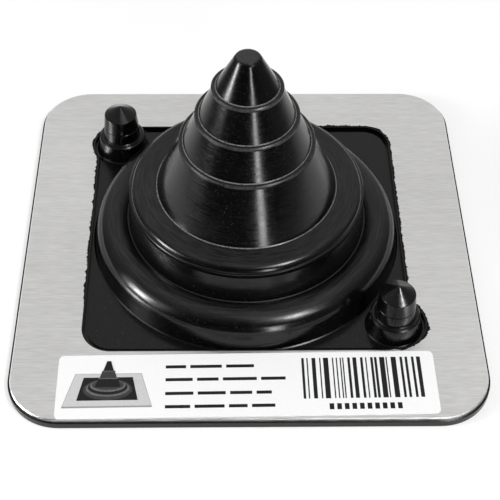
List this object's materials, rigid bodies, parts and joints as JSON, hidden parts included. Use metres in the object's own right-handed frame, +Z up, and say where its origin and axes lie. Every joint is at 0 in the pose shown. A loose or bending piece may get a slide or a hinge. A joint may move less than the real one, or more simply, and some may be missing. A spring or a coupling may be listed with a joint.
{
  "type": "pipe flashing boot",
  "caption": "Roof pipe boot: a soft hollow stepped cone on a shelf and bellows bead, moulded with small nipples onto a square aluminium sheet that is screwed to the roof.",
  "frame": {"origin": "on the roof face, under the middle of the square base", "axes": "+Z up along the pipe's direction, +X to the right and +Y to the back as seen with the label in front"},
  "size_m": [0.101, 0.101, 0.0538],
  "materials": {
    "rubber": "semi-gloss moulded rubber",
    "aluminium": "fine brushed sheet",
    "paper": "matt white sticker"
  },
  "bodies": {
    "root": {"rubber_boot": "rubber", "base_sheet": "aluminium", "label": "paper"}
  },
  "joints": []
}
